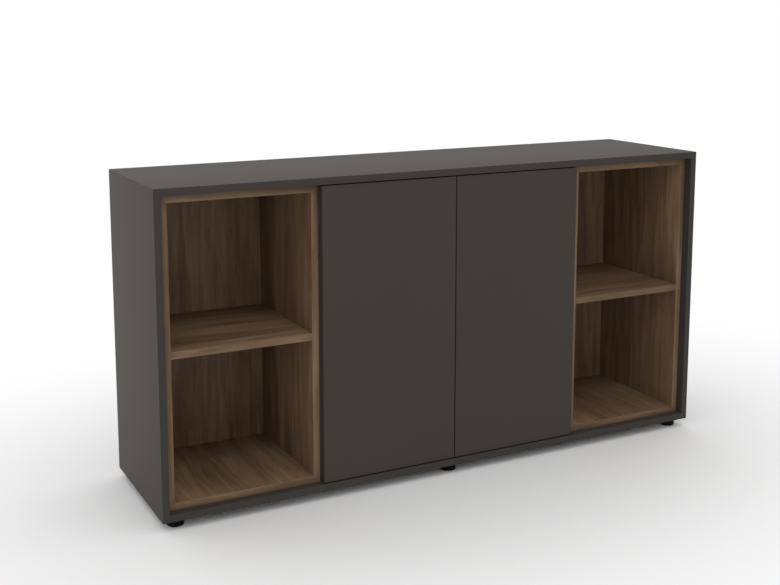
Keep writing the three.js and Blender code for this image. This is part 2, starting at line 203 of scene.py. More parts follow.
@dataclass(frozen=True)
class PearlMelamine(Finish):
    """Melamine-faced board, pressed against a fine pearl plate: even colour, matt, with a faint mottle.

    Attributes:
        colour: Colour of the board.
        fleck: Colour of the pearls.
        pearl: Width of a pearl, drawn at twice its size, so that it shows.
        mottle: Height of the noise at which the fleck starts and is full.
        dent: Depth of the pearl.
        roughness: Roughness of the face.
        specular: Specular level of the face.
    """

    colour: str = "#3b3632"
    fleck: str = "#413c38"
    pearl: float = 1.6 * MM
    mottle: Pair = (0.3, 0.7)
    dent: float = 0.05 * MM
    roughness: float = 0.56
    specular: float = 0.088

    def dress(self, tree: bpy.types.NodeTree, shader: bpy.types.Node) -> None:
        """Mottles the colour and dents the face."""
        place = add_node(tree, "ShaderNodeTexCoord")
        pearl = add_node(tree, "ShaderNodeTexNoise", {
            "Vector": place.outputs["Object"], "Scale": 1 / self.pearl, "Detail": 2.0, "Roughness": 0.6,
        })
        tone = add_node(tree, "ShaderNodeValToRGB", {"Fac": pearl.outputs["Fac"]},
                        stops=tuple(zip(self.mottle, (self.colour, self.fleck))))
        bump = add_node(tree, "ShaderNodeBump", {
            "Height": pearl.outputs["Fac"], "Strength": 0.25, "Distance": self.dent,
        })
        tree.links.new(tone.outputs["Color"], shader.inputs["Base Color"])
        tree.links.new(bump.outputs["Normal"], shader.inputs["Normal"])
        shader.inputs["Roughness"].default_value = self.roughness
        shader.inputs["Specular IOR Level"].default_value = self.specular


@dataclass(frozen=True)
class WalnutDecor(Finish):
    """Walnut-decor melamine: printed staves with rings, streaks and short dark dashes under a silk matt film.

    The dashes stand for rows of open pores, which are finer, and are drawn as coarse as they need to show.

    Attributes:
        grain: How the grain lies.
        shift: Place of the sheet that the board is cut from.
        dark: Colour of the darkest wood.
        middle: Colour of most of it.
        pale: Colour of the sapwood.
        tones: Height of the figure at which each of these three is reached.
        dash: Colour of the dashes.
        sway: How far the grain sways to the side.
        sway_rate: Sways in a metre across the grain, along it and through the board.
        stave: Width, length and thickness of a stave.
        ring: Width and length of the swell that the growth rings follow.
        ring_count: Growth rings in a swell.
        ring_weight: Share of the rings in the figure.
        streak: Width and length of a streak.
        streak_weight: Share of the streaks in the rest of the figure.
        pore: Width and length of a dash.
        pore_from: Height of the noise at which a dash starts and is full.
        pore_weight: Share of the dash's colour where it is full.
        dent: Depth of a dash.
        roughness: Roughness of the film.
        specular: Specular level of the film.
    """

    grain: Grain = Grain.DEEP
    shift: Point = (0.0, 0.0, 0.0)
    dark: str = "#5a4534"
    middle: str = "#79614b"
    pale: str = "#927860"
    tones: Point = (0.25, 0.51, 0.77)
    dash: str = "#3a2a1d"
    sway: float = 24 * MM
    sway_rate: Point = (9.0, 5.0, 9.0)
    stave: Point = (85 * MM, 900 * MM, 425 * MM)
    ring: Pair = (64 * MM, 1500 * MM)
    ring_count: float = 7.0
    ring_weight: float = 0.12
    streak: Pair = (19 * MM, 210 * MM)
    streak_weight: float = 0.66
    pore: Pair = (3.5 * MM, 50 * MM)
    pore_from: Pair = (0.58, 0.76)
    pore_weight: float = 0.45
    dent: float = 0.06 * MM
    roughness: float = 0.5
    specular: float = 0.15

    def dress(self, tree: bpy.types.NodeTree, shader: bpy.types.Node) -> None:
        """Draws staves, rings, streaks and dashes, each stretched along the grain."""
        place = add_node(tree, "ShaderNodeTexCoord")
        laid = add_node(tree, "ShaderNodeMapping", {
            "Vector": place.outputs["Object"], "Location": self.shift, "Rotation": self.grain.value,
        }).outputs["Vector"]
        figure = self.figure(tree, laid)
        dark, middle, pale = self.tones
        tone = add_node(tree, "ShaderNodeValToRGB", {"Fac": figure},
                        stops=((dark, self.dark), (pale, self.pale), (middle, self.middle)))
        pores = self.layer(tree, laid, self.pore, 2.0)
        fleck = add_node(tree, "ShaderNodeMapRange", {
            "Value": pores, "From Min": self.pore_from[0], "From Max": self.pore_from[1],
            "To Min": 0.0, "To Max": self.pore_weight,
        }).outputs["Result"]
        colour = add_node(tree, "ShaderNodeMix", {
            0: fleck, 6: tone.outputs["Color"], 7: linear(self.dash),
        }, data_type="RGBA")
        bump = add_node(tree, "ShaderNodeBump", {
            "Height": fleck, "Strength": 0.3, "Distance": self.dent,
        }, invert=True)
        tree.links.new(colour.outputs[2], shader.inputs["Base Color"])
        tree.links.new(bump.outputs["Normal"], shader.inputs["Normal"])
        shader.inputs["Roughness"].default_value = self.roughness
        shader.inputs["Specular IOR Level"].default_value = self.specular

    def figure(self, tree: bpy.types.NodeTree, laid: bpy.types.NodeSocket) -> bpy.types.NodeSocket:
        """Draws the figure of staves, streaks and rings, which sways with the grain.

        Args:
            tree: The material's tree.
            laid: Coordinates with the grain along Y.

        Returns:
            Its value.
        """
        rate = add_node(tree, "ShaderNodeMapping", {"Vector": laid, "Scale": self.sway_rate})
        wander = add_node(tree, "ShaderNodeTexNoise", {
            "Vector": rate.outputs["Vector"], "Scale": 1.0, "Detail": 2.0,
        })
        swayed = add_node(tree, "ShaderNodeVectorMath", {
            0: wander.outputs["Color"], 1: (self.sway, 0.0, 0.0), 2: laid,
        }, operation="MULTIPLY_ADD").outputs["Vector"]
        staves = add_node(tree, "ShaderNodeMapping", {
            "Vector": swayed, "Scale": tuple(1 / size for size in self.stave),
        })
        stave = add_node(tree, "ShaderNodeTexVoronoi", {
            "Vector": staves.outputs["Vector"], "Scale": 1.0, "Smoothness": 0.25,
        }, feature="SMOOTH_F1")
        shade = add_node(tree, "ShaderNodeSeparateColor", {"Color": stave.outputs["Color"]})
        rings = add_node(tree, "ShaderNodeMath", {
            0: self.layer(tree, swayed, self.ring, 1.0), 1: self.ring_count,
        }, operation="MULTIPLY")
        ring = add_node(tree, "ShaderNodeMath", {0: rings.outputs[0]}, operation="FRACT")
        mixed = add_node(tree, "ShaderNodeMix", {
            0: self.streak_weight, 2: shade.outputs["Red"], 3: self.layer(tree, swayed, self.streak, 3.0),
        }, data_type="FLOAT")
        return add_node(tree, "ShaderNodeMix", {
            0: self.ring_weight, 2: mixed.outputs[0], 3: ring.outputs[0],
        }, data_type="FLOAT").outputs[0]

    @staticmethod
    def layer(
        tree: bpy.types.NodeTree, vector: bpy.types.NodeSocket, size: Pair, detail: float
    ) -> bpy.types.NodeSocket:
        """Draws noise that is stretched along the grain.

        Args:
            tree: The material's tree.
            vector: Coordinates with the grain along Y.
            size: Width and length of its patches.
            detail: Octaves of finer patches.

        Returns:
            Its value.
        """
        width, length = size
        stretched = add_node(tree, "ShaderNodeMapping", {
            "Vector": vector, "Scale": (1 / width, 1 / length, 1 / width),
        })
        return add_node(tree, "ShaderNodeTexNoise", {
            "Vector": stretched.outputs["Vector"], "Scale": 1.0, "Detail": detail, "Roughness": 0.5,
        }).outputs["Fac"]


@dataclass(frozen=True)
class PlatedSteel(Finish):
    """Nickel-plated pressed steel: bright, a little warm, with the faint drag of the press in its gloss.

    Attributes:
        colour: Colour of the nickel.
        roughness: Roughness on average.
        spread: How far the roughness strays from that.
        drag: Size of the patches in which it does.
    """

    colour: str = "#c6c4bf"
    roughness: float = 0.28
    spread: float = 0.08
    drag: float = 4 * MM

    def dress(self, tree: bpy.types.NodeTree, shader: bpy.types.Node) -> None:
        """Varies the gloss in patches."""
        place = add_node(tree, "ShaderNodeTexCoord")
        drag = add_node(tree, "ShaderNodeTexNoise", {
            "Vector": place.outputs["Object"], "Scale": 1 / self.drag, "Detail": 3.0,
        })
        gloss = add_node(tree, "ShaderNodeMapRange", {
            "Value": drag.outputs["Fac"],
            "To Min": self.roughness - self.spread, "To Max": self.roughness + self.spread,
        })
        tree.links.new(gloss.outputs["Result"], shader.inputs["Roughness"])
        shader.inputs["Base Color"].default_value = linear(self.colour)
        shader.inputs["Metallic"].default_value = 1.0


@dataclass(frozen=True)
class MouldedPlastic(Finish):
    """Moulded plastic or rubber with a spark-eroded skin: one colour, a soft broken gloss.

    Attributes:
        colour: Colour all through.
        roughness: Roughness of the skin.
        specular: Specular level of the skin.
        skin: Grain of the skin.
        dent: Depth of that grain.
    """

    colour: str = "#0d0d0d"
    roughness: float = 0.45
    specular: float = 0.4
    skin: float = 0.9 * MM
    dent: float = 0.04 * MM

    def dress(self, tree: bpy.types.NodeTree, shader: bpy.types.Node) -> None:
        """Dents the face with the skin of the mould."""
        place = add_node(tree, "ShaderNodeTexCoord")
        skin = add_node(tree, "ShaderNodeTexNoise", {
            "Vector": place.outputs["Object"], "Scale": 1 / self.skin, "Detail": 2.0,
        })
        bump = add_node(tree, "ShaderNodeBump", {
            "Height": skin.outputs["Fac"], "Strength": 0.2, "Distance": self.dent,
        })
        tree.links.new(bump.outputs["Normal"], shader.inputs["Normal"])
        shader.inputs["Base Color"].default_value = linear(self.colour)
        shader.inputs["Roughness"].default_value = self.roughness
        shader.inputs["Specular IOR Level"].default_value = self.specular


ANTHRACITE = PearlMelamine("anthracite_melamine_board", "anthracite_board")
ANTHRACITE_BAND = PearlMelamine(
    "anthracite_abs_edge_band", "anthracite_board", colour="#373431", fleck="#3d3a37", roughness=0.5,
)
BACK_BOARD = PearlMelamine(
    "anthracite_foil_fibreboard", "back_board", colour="#3a3632", fleck="#403b37", roughness=0.65,
)
STEEL = PlatedSteel("nickel_plated_steel", "nickel_steel")
GREY_PLASTIC = MouldedPlastic("grey_moulded_nylon", "grey_plastic", colour="#3d3f41", roughness=0.5)
BLACK_PLASTIC = MouldedPlastic("black_moulded_nylon", "black_plastic", colour="#0c0c0c", roughness=0.4)
FOOT_PLASTIC = MouldedPlastic(
    "matt_black_moulded_nylon", "black_plastic", colour="#060606", roughness=0.6, specular=0.1,
)
RUBBER = MouldedPlastic(
    "black_rubber", "black_plastic", colour="#060606", roughness=0.75, specular=0.1, skin=0.6 * MM,
)


class Workpiece:
    """A mesh under work. Each operator acts on what the last pick selected.

    Attributes:
        obj: The object under work.
    """

    def __init__(self, obj: bpy.types.Object) -> None:
        """Takes an object under work."""
        self.obj = obj

    @staticmethod
    def clear() -> None:
        """Leaves edit mode and deselects everything."""
        if bpy.context.object and bpy.context.object.mode != "OBJECT":
            bpy.ops.object.mode_set(mode="OBJECT")
        bpy.ops.object.select_all(action="DESELECT")

    @classmethod
    def started(cls, name: str) -> "Workpiece":
        """Names the primitive just added and puts its place into its mesh.

        Args:
            name: The piece's name.

        Returns:
            The primitive, under work.
        """
        obj = bpy.context.object
        obj.name = obj.data.name = name
        bpy.ops.object.transform_apply(location=True, rotation=True, scale=True)
        return cls(obj)

    @classmethod
    def block(cls, name: str, low: Point, high: Point) -> "Workpiece":
        """Starts from a cube between two corners.

        Args:
            name: The piece's name.
            low: Lowest corner.
            high: Highest corner.

        Returns:
            The block, under work.
        """
        cls.clear()
        low, high = Vector(low), Vector(high)
        bpy.ops.mesh.primitive_cube_add(size=1.0, location=(low + high) / 2, scale=high - low)
        return cls.started(name)

    @classmethod
    def drum(
        cls, name: str, middle: Point, radius: float, length: float, axis: Axis, sides: int = 24
    ) -> "Workpiece":
        """Starts from a cylinder.

        Args:
            name: The piece's name.
            middle: Its middle point.
            radius: Its radius.
            length: Its length.
            axis: The way that it lies.
            sides: Number of its sides.

        Returns:
            The drum, under work.
        """
        cls.clear()
        bpy.ops.mesh.primitive_cylinder_add(
            vertices=sides, radius=radius, depth=length, location=middle, rotation=axis.value,
        )
        return cls.started(name)

    @classmethod
    def turned(cls, name: str, profile: Sequence[Pair], steps: int) -> "Workpiece":
        """Spins a profile about Z.

        Args:
            name: The piece's name.
            profile: Points of radius and height in millimetres, one after another along the outline.
            steps: Number of steps round.

        Returns:
            The turned shape, under work.
        """
        cls.clear()
        bpy.ops.mesh.primitive_plane_add(size=MM)
        piece = cls.started(name)
        piece.edit("VERT")
        bpy.ops.mesh.select_all(action="SELECT")
        bpy.ops.mesh.merge(type="CENTER")
        points = [Vector((radius * MM, 0.0, height * MM)) for radius, height in profile]
        bpy.ops.transform.translate(value=points[0])
        for last, point in zip(points, points[1:]):
            bpy.ops.mesh.extrude_region_move(TRANSFORM_OT_translate={"value": point - last})
        bpy.ops.mesh.select_all(action="SELECT")
        bpy.ops.mesh.spin(steps=steps, angle=2 * pi, center=(0.0, 0.0, 0.0), axis=(0.0, 0.0, 1.0))
        bpy.ops.mesh.select_all(action="SELECT")
        bpy.ops.mesh.remove_doubles(threshold=MERGED)
        bpy.ops.mesh.normals_make_consistent(inside=False)
        return piece

    @classmethod
    def from_node(cls, name: str, node: str) -> "Workpiece":
        """Starts from a merged copy of a CAD node.

        Args:
            name: The piece's name.
            node: The CAD node.

        Returns:
            The copy, under work.
        """
        cls.clear()
        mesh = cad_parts[node].data.copy()
        mesh.name = name
        mesh.materials.clear()
        obj = bpy.data.objects.new(name, mesh)
        bpy.context.collection.objects.link(obj)
        piece = cls(obj)
        piece.take_up()
        bpy.ops.mesh.customdata_custom_splitnormals_clear()
        piece.edit("VERT")
        bpy.ops.mesh.select_all(action="SELECT")
        bpy.ops.mesh.remove_doubles(threshold=MERGED)
        bpy.ops.mesh.dissolve_limited(angle_limit=FLAT)
        return piece

    def take_up(self) -> None:
        """Makes this the only selected object."""
        self.clear()
        self.obj.select_set(True)
        bpy.context.view_layer.objects.active = self.obj

    def edit(self, mode: str) -> None:
        """Opens edit mode with nothing selected.

        Args:
            mode: VERT, EDGE or FACE.
        """
        self.take_up()
        bpy.ops.object.mode_set(mode="EDIT")
        bpy.ops.mesh.select_mode(type=mode)
        bpy.ops.mesh.select_all(action="DESELECT")

    def pick_faces(self, test: PlaceTest) -> "Workpiece":
        """Selects faces by their place.

        Args:
            test: Says for a face's middle and normal whether it is picked.

        Returns:
            This piece.
        """
        self.edit("FACE")
        mesh = bmesh.from_edit_mesh(self.obj.data)
        for face in mesh.faces:
            face.select_set(test(face.calc_center_median(), face.normal))
        mesh.select_flush_mode()
        bmesh.update_edit_mesh(self.obj.data)
        return self

    def pick_edges(self, test: PlaceTest = lambda middle, along: True) -> "Workpiece":
        """Selects sharp edges by their place, or all of them.

        Args:
            test: Says for an edge's middle and direction whether it is picked.

        Returns:
            This piece.
        """
        self.edit("EDGE")
        mesh = bmesh.from_edit_mesh(self.obj.data)
        for edge in mesh.edges:
            first, second = (corner.co for corner in edge.verts)
            if edge.calc_face_angle(0.0) > SHARP:
                edge.select_set(test((first + second) / 2, (second - first).normalized()))
        mesh.select_flush_mode()
        bmesh.update_edit_mesh(self.obj.data)
        return self

    def bevel(self, width: float, segments: int = 2) -> "Workpiece":
        """Rounds the picked edges."""
        bpy.ops.mesh.bevel(offset=width, segments=segments, affect="EDGES", clamp_overlap=True)
        return self

    def inset(self, thickness: float, depth: float = 0.0) -> "Workpiece":
        """Insets the picked faces, and raises or sinks them by a depth."""
        bpy.ops.mesh.inset(thickness=thickness, depth=depth, use_even_offset=True)
        return self

    def keep(self, place: float, behind: bool) -> "Workpiece":
        """Cuts the piece by an upright plane across Y and keeps one part.

        Args:
            place: The plane's Y.
            behind: Keeps the part behind the plane, or else the one before it.

        Returns:
            This piece.
        """
        self.edit("VERT")
        bpy.ops.mesh.select_all(action="SELECT")
        bpy.ops.mesh.bisect(
            plane_co=(0.0, place, 0.0), plane_no=(0.0, 1.0, 0.0), use_fill=True,
            clear_inner=behind, clear_outer=not behind, threshold=MERGED,
        )
        return self

    def combine(self, tool: "Workpiece", operation: str) -> "Workpiece":
        """Joins a tool to the piece, or cuts it out, and uses the tool up.

        Args:
            tool: The other shape.
            operation: UNION or DIFFERENCE.

        Returns:
            This piece.
        """
        self.take_up()
        modifier = self.obj.modifiers.new("combine", "BOOLEAN")
        modifier.operation = operation
        modifier.solver = "MANIFOLD"
        modifier.object = tool.obj
        bpy.ops.object.modifier_apply(modifier=modifier.name)
        bpy.data.objects.remove(tool.obj)
        return self

    def place(self, matrix: Matrix) -> "Workpiece":
        """Moves the mesh, and keeps the object at the origin."""
        self.clear()
        self.obj.data.transform(matrix)
        return self

    def copy(self, name: str, matrix: Matrix) -> "Workpiece":
        """Copies the piece with a mesh of its own.

        Args:
            name: Name of the copy.
            matrix: Its move from this piece.

        Returns:
            The copy.
        """
        self.clear()
        twin = self.obj.copy()
        twin.data = self.obj.data.copy()
        twin.name = twin.data.name = name
        bpy.context.collection.objects.link(twin)
        return Workpiece(twin).place(matrix)

    def discard(self) -> None:
        """Takes a pattern piece away once its copies are made."""
        self.clear()
        bpy.data.objects.remove(self.obj)

    def finish(self, finish: Finish, body: str, *nodes: str) -> None:
        """Gives the piece its finish and its body, and reports it.

        Args:
            finish: The finish.
            body: The body that it moves with.
            *nodes: CAD nodes that it stands for.
        """
        self.take_up()
        bpy.ops.object.shade_smooth_by_angle(angle=SMOOTH)
        self.clear()
        self.obj.data.materials.clear()
        self.obj.data.materials.append(finish.material())
        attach(self.obj, body)
        if nodes:
            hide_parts(*nodes)
        LOG.info("%s on %s", self.obj.name, body)


def join_pieces(name: str, pieces: Sequence[Workpiece]) -> Workpiece:
    """Joins several pieces into one object.

    Args:
        name: Name of the joined piece.
        pieces: The pieces; the first one stays.

    Returns:
        The joined piece.
    """
    Workpiece.clear()
    for piece in pieces:
        piece.obj.select_set(True)
    first = pieces[0]
    bpy.context.view_layer.objects.active = first.obj
    bpy.ops.object.join()
    first.obj.name = first.obj.data.name = name
    return first


@dataclass
class ScrewHeads:
    """Cross-recessed screw heads, turned once and copied to where they hold. Sizes in millimetres.

    Attributes:
        radius: Radius of the head.
        height: Height of its dome.
        recess: Length of the cross recess.
        slit: Width of the cross recess.
        sunk: How deep the head and the recess reach below the face.
    """

    radius: float = 3.4
    height: float = 0.8
    recess: float = 3.6
    slit: float = 0.9
    sunk: Pair = (0.4, 0.1)

    def pattern(self) -> Workpiece:
        """Turns one head on the origin, its dome towards +Z.

        Returns:
            The head.
        """
        radius, height = self.radius, self.height
        head_sunk, recess_sunk = self.sunk
        head = Workpiece.turned("screw_head", (
            (0.0, -head_sunk), (radius, -head_sunk), (radius, 0.1 * height),
            (0.8 * radius, 0.7 * height), (0.4 * radius, height), (0.0, height),
        ), steps=20)
        long, thin = self.recess / 2 * MM, self.slit / 2 * MM
        low, high = -recess_sunk * MM, 2 * height * MM
        for half_x, half_y in ((long, thin), (thin, long)):
            recess = Workpiece.block("recess", (-half_x, -half_y, low), (half_x, half_y, high))
            head.combine(recess, "DIFFERENCE")
        return head

    def drive(self, name: str, places: Sequence[Matrix], body: str) -> None:
        """Sets screws at several places as one piece.

        Args:
            name: Name of the piece.
            places: The move of each head from the origin.
            body: The body that holds them.
        """
        pattern = self.pattern()
        heads = [pattern.copy(f"{name}_{number}", place) for number, place in enumerate(places)]
        pattern.discard()
        join_pieces(name, heads).finish(STEEL, body)


def corners(node: str) -> tuple[Vector, Vector]:
    """The lowest and the highest corner of a CAD node's box."""
    low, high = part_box(node)
    return Vector(low), Vector(high)


@dataclass(frozen=True)
class Extent:
    """A round CAD node that stands upright, in millimetres.

    Attributes:
        radius: Its radius.
        low: Level of its foot.
        high: Level of its top.
    """

    radius: float
    low: float
    high: float

    @classmethod
    def of(cls, node: str) -> "Extent":
        """Reads them from the node's box.

        Args:
            node: The CAD node.

        Returns:
            Its extent.
        """
        low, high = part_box(node)
        return cls((high[0] - low[0]) / 2 / MM, low[2] / MM, high[2] / MM)


def facing(axis: str, way: int, place: Point) -> Matrix:
    """The move that turns a +Z head to face along an axis at a place.

    Args:
        axis: X, Y or Z.
        way: 1 along the axis, -1 against it.
        place: Where the head sits.

    Returns:
        The move.
    """
    direction = Vector({"X": (way, 0, 0), "Y": (0, way, 0), "Z": (0, 0, way)}[axis])
    turn = Vector((0.0, 0.0, 1.0)).rotation_difference(direction).to_matrix().to_4x4()
    return Matrix.Translation(place) @ turn


@dataclass
class Board:
    """A board that stands for a CAD node, with an edge band along its front.

    Attributes:
        node: The CAD node.
        face: Finish of the board.
        band: Finish of its front edge band, if it has one.
        body: The body that it belongs to.
        thickness: Thickness of the band.
        radius: Radius of the rounded edges.
        mitre_gap: Gap by which a level board's mitres are closed tight.
    """

    node: str
    face: Finish
    band: Finish | None = None
    body: str = ROOT
    thickness: float = 1.0 * MM
    radius: float = 0.7 * MM
    mitre_gap: float = 0.0

    def blank(self, name: str) -> Workpiece:
        """Takes a copy of the node and pushes its mitres tight.

        Args:
            name: Name of the copy.

        Returns:
            The copy, under work.
        """
        blank = Workpiece.from_node(name, self.node)
        middle_x = sum(corner[0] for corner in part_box(self.node)) / 2
        for way in (-1, 1) if self.mitre_gap else ():
            blank.pick_faces(
                lambda middle, normal: abs(normal.z) > SLANTED and normal.x * way > SLANTED
                and (middle.x - middle_x) * way > 0
            )
            bpy.ops.transform.translate(value=(way * self.mitre_gap, 0.0, 0.0))
        return blank

    def build(self) -> None:
        """Cuts the board behind its band and rounds what shows, but leaves the mitres sharp."""
        low, high = corners(self.node)
        board = self.blank(f"{self.node}_board")
        ends = (low.y, high.y)
        if self.band:
            glue_line = low.y + self.thickness
            board.keep(glue_line, behind=True)
            ends = (high.y,)
            band = self.blank(f"{self.node}_edge_band").keep(glue_line, behind=False)
            band.pick_edges(lambda middle, along: self.rounds(middle, along, (low.y,)))
            band.bevel(self.radius, segments=3).finish(self.band, self.body)
        board.pick_edges(lambda middle, along: self.rounds(middle, along, ends))
        board.bevel(self.radius, segments=3).finish(self.face, self.body, self.node)

    def rounds(self, middle: Vector, along: Vector, ends: Sequence[float]) -> bool:
        """Says whether an edge is rounded.

        Args:
            middle: The edge's middle.
            along: Its direction.
            ends: The front and rear faces whose edges are rounded.

        Returns:
            True for an edge on such a face that is no mitre.
        """
        mitre = abs(along.x) > SLANTED and abs(along.z) > SLANTED
        return not mitre and any(abs(middle.y - end) < NEAR for end in ends)


@dataclass
class Carcass:
    """The anthracite shell: four mitred panels and the back panel.

    Attributes:
        panels: The mitred panels.
        mitre_gap: Gap at the ends of the level panels.
        back_radius: Radius of the back panel's edges.
        screw_count: Number of the back panel's screws into each partition.
        screw_margin: Distance of the outer screws from the partition's ends.
    """

    panels: tuple[str, ...] = ("top_panel", "bottom_panel", "left_side_panel", "right_side_panel")
    mitre_gap: float = 0.41 * MM
    back_radius: float = 0.4 * MM
    screw_count: int = 4
    screw_margin: float = 50 * MM

    def build(self) -> None:
        """Makes the panels."""
        for panel in self.panels:
            gap = 0.0 if "side" in panel else self.mitre_gap
            Board(panel, ANTHRACITE, ANTHRACITE_BAND, mitre_gap=gap).build()
        Board("back_panel", BACK_BOARD, radius=self.back_radius).build()

    def dress(self) -> None:
        """Screws the back panel to the partitions."""
        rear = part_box("back_panel")[1][1]
        places = []
        for side in Side:
            low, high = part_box(f"{side.word}_partition")
            pitch = (high[2] - low[2] - 2 * self.screw_margin) / (self.screw_count - 1)
            for number in range(self.screw_count):
                level = low[2] + self.screw_margin + number * pitch
                places.append(facing("Y", 1, ((low[0] + high[0]) / 2, rear, level)))
        ScrewHeads().drive("back_panel_screws", places, ROOT)


@dataclass
class Niche:
    """An open walnut box with its own back and one fixed shelf.

    Attributes:
        side: The end at which it stands.
        mitre_gap: Gap at the ends of the level boards of its frame.
        edge_radius: Radius of the boards' edges.
        band_tones: Dark, middle and pale colour of the edge bands, which are printed a little darker.
        first_cut: Number of the first cut from the decor sheet, at the left and at the right end.
        board_step: How many cuts further the next board comes from.
        band_step: How many cuts further than its board an edge band comes from.
        cut_step: Way on the sheet from one cut to the next.
        boards: The grain of each board, and of its front edge band where it has one.
    """

    side: Side
    mitre_gap: float = 0.41 * MM
    edge_radius: float = 0.5 * MM
    band_tones: tuple[str, str, str] = ("#4d3b2c", "#6d5843", "#856d58")
    first_cut: tuple[int, int] = (34, 94)
    board_step: int = 2
    band_step: int = 5
    cut_step: Point = (0.37, 0.61, 0.23)
    boards: dict[str, tuple[Grain, Grain | None]] = field(default_factory=lambda: {
        "top": (Grain.DEEP, Grain.WIDE_EDGE),
        "floor": (Grain.DEEP, Grain.WIDE_EDGE),
        "outer_side": (Grain.TALL_SIDE, Grain.TALL_BACK),
        "inner_side": (Grain.TALL_SIDE, Grain.TALL_BACK),
        "shelf": (Grain.WIDE, Grain.WIDE_EDGE),
        "back": (Grain.TALL_BACK, None),
    })

    def walnut(self, part: str, grain: Grain, number: int, edge: bool) -> WalnutDecor:
        """The decor of one board, cut from its own place of the sheet.

        Args:
            part: The board.
            grain: How its grain lies.
            number: Its number, which sets the place.
            edge: Whether it is the board's edge band.

        Returns:
            The finish.
        """
        cut = number * self.board_step + self.band_step * edge + self.first_cut[self.side is Side.RIGHT]
        decor = WalnutDecor(
            f"walnut_{'abs_band' if edge else 'melamine'}_{self.side.word}_{part}", "walnut_board",
            grain=grain, shift=tuple(step * cut for step in self.cut_step),
        )
        dark, middle, pale = self.band_tones
        return replace(decor, dark=dark, middle=middle, pale=pale) if edge else decor

    def build(self) -> None:
        """Makes the boards."""
        for number, (part, (face, edge)) in enumerate(self.boards.items()):
            decor = self.walnut(part, face, number, False)
            band = self.walnut(part, edge, number, True) if edge else None
            gap = self.mitre_gap if part in ("top", "floor") else 0.0
            node = f"{self.side.word}_niche_{part}"
            Board(node, decor, band, radius=self.edge_radius, mitre_gap=gap).build()


@dataclass
class Cupboard:
    """What stands behind the doors: two partitions and a loose shelf on pins.

    Attributes:
        plug: Radius of a shelf pin's plug.
        collar: Radius and thickness of its collar.
        collar_gap: Gap between collar and partition.
        tongue: Width and thickness of the tongue that carries the shelf.
        tongue_corner: Radius of the corners at its tip.
    """

    plug: float = 2.4 * MM
    collar: Pair = (3.8 * MM, 1.0 * MM)
    collar_gap: float = 0.2 * MM
    tongue: Pair = (10 * MM, 3 * MM)
    tongue_corner: float = 3 * MM

    def build(self) -> None:
        """Makes the partitions and the shelf."""
        for node in ("left_partition", "right_partition", "cupboard_shelf"):
            Board(node, ANTHRACITE, ANTHRACITE_BAND).build()

    def dress(self) -> None:
        """Plugs in the four shelf pins."""
        for side in Side:
            for row in ("front", "rear"):
                self.shelf_pin(f"{side.word}_{row}_shelf_pin", side)

    def shelf_pin(self, node: str, side: Side) -> None:
        """Shapes one pin: a plug with a collar and a flat tongue that carries the shelf.

        Args:
            node: The pin's CAD node.
            side: The partition that it is in.
        """
        low, high = corners(node)
        left = side is Side.LEFT
        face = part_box(f"{side.word}_partition")[1 if left else 0][0]
        end, tip = (low.x, high.x) if left else (high.x, low.x)
        root = face - side.value * self.collar_gap
        width, height = self.tongue
        middle_y, level = (low.y + high.y) / 2, high.z - height / 2
        pin = Workpiece.drum(
            f"{node}_nickel", ((end + root) / 2, middle_y, level), self.plug, abs(root - end), Axis.X,
        )
        pin.pick_edges(lambda middle, along: abs(middle.x - end) < NEAR).bevel(0.6 * MM)
        radius, thickness = self.collar
        collar_x = root - side.value * thickness / 2
        collar = Workpiece.drum("collar", (collar_x, middle_y, level), radius, thickness, Axis.X)
        collar.pick_edges().bevel(0.25 * MM)
        tongue = Workpiece.block(
            "tongue", (min(root, tip), middle_y - width / 2, high.z - height),
            (max(root, tip), middle_y + width / 2, high.z),
        )
        tongue.pick_edges(lambda middle, along: abs(along.z) > STRAIGHT and abs(middle.x - tip) < NEAR)
        tongue.bevel(self.tongue_corner, segments=4)
        tongue.pick_edges(lambda middle, along: abs(along.z) < SLANTED).bevel(0.3 * MM)
        pin.combine(collar, "UNION").combine(tongue, "UNION")
        pin.finish(STEEL, ROOT, node)


@dataclass
class Door:
    """A plain door with two cup bores and a strike plate for its push latch.

    Attributes:
        side: The side on which it is hung.
        edge_radius: Radius of its rounded edges.
        plate_corner: Radius of the strike plate's corners.
        plate_screw: Distance of the plate's screws from its middle.
    """

    side: Side
    edge_radius: float = 1.0 * MM
    plate_corner: float = 4.0 * MM
    plate_screw: float = 9.0 * MM

    @property
    def node(self) -> str:
        """The door's CAD node, which also names its body."""
        return f"{self.side.word}_door"

    def build(self) -> None:
        """Rounds the door's edges all round and leaves the bores sharp."""
        low, high = corners(self.node)
        door = Workpiece.from_node(f"{self.node}_panel", self.node)

        def on_rim(middle: Vector, along: Vector) -> bool:
            """Whether an edge lies on the door's outer rim."""
            sides = (middle.x - low.x, high.x - middle.x, middle.z - low.z, high.z - middle.z)
            return any(abs(distance) < NEAR for distance in sides)

        door.pick_edges(on_rim).bevel(self.edge_radius, segments=3)
        door.finish(ANTHRACITE, self.node, self.node)

    def dress(self) -> None:
        """Screws the strike plate on."""
        node = f"{self.side.word}_strike_plate"
        low, high = corners(node)
        plate = Workpiece.block(f"{node}_nickel", low, high)
        plate.pick_edges(lambda middle, along: abs(along.y) > STRAIGHT).bevel(self.plate_corner, segments=5)
        plate.pick_edges(lambda middle, along: middle.y > high.y - NEAR).bevel(0.3 * MM)
        plate.finish(STEEL, self.node, node)
        middle = (low + high) / 2
        places = [facing("Y", 1, (middle.x + way * self.plate_screw, high.y, middle.z)) for way in (-1, 1)]
        screws = ScrewHeads(radius=2.4, height=0.2, recess=2.6, slit=0.6)
        screws.drive(f"{self.side.word}_strike_plate_screws", places, self.node)


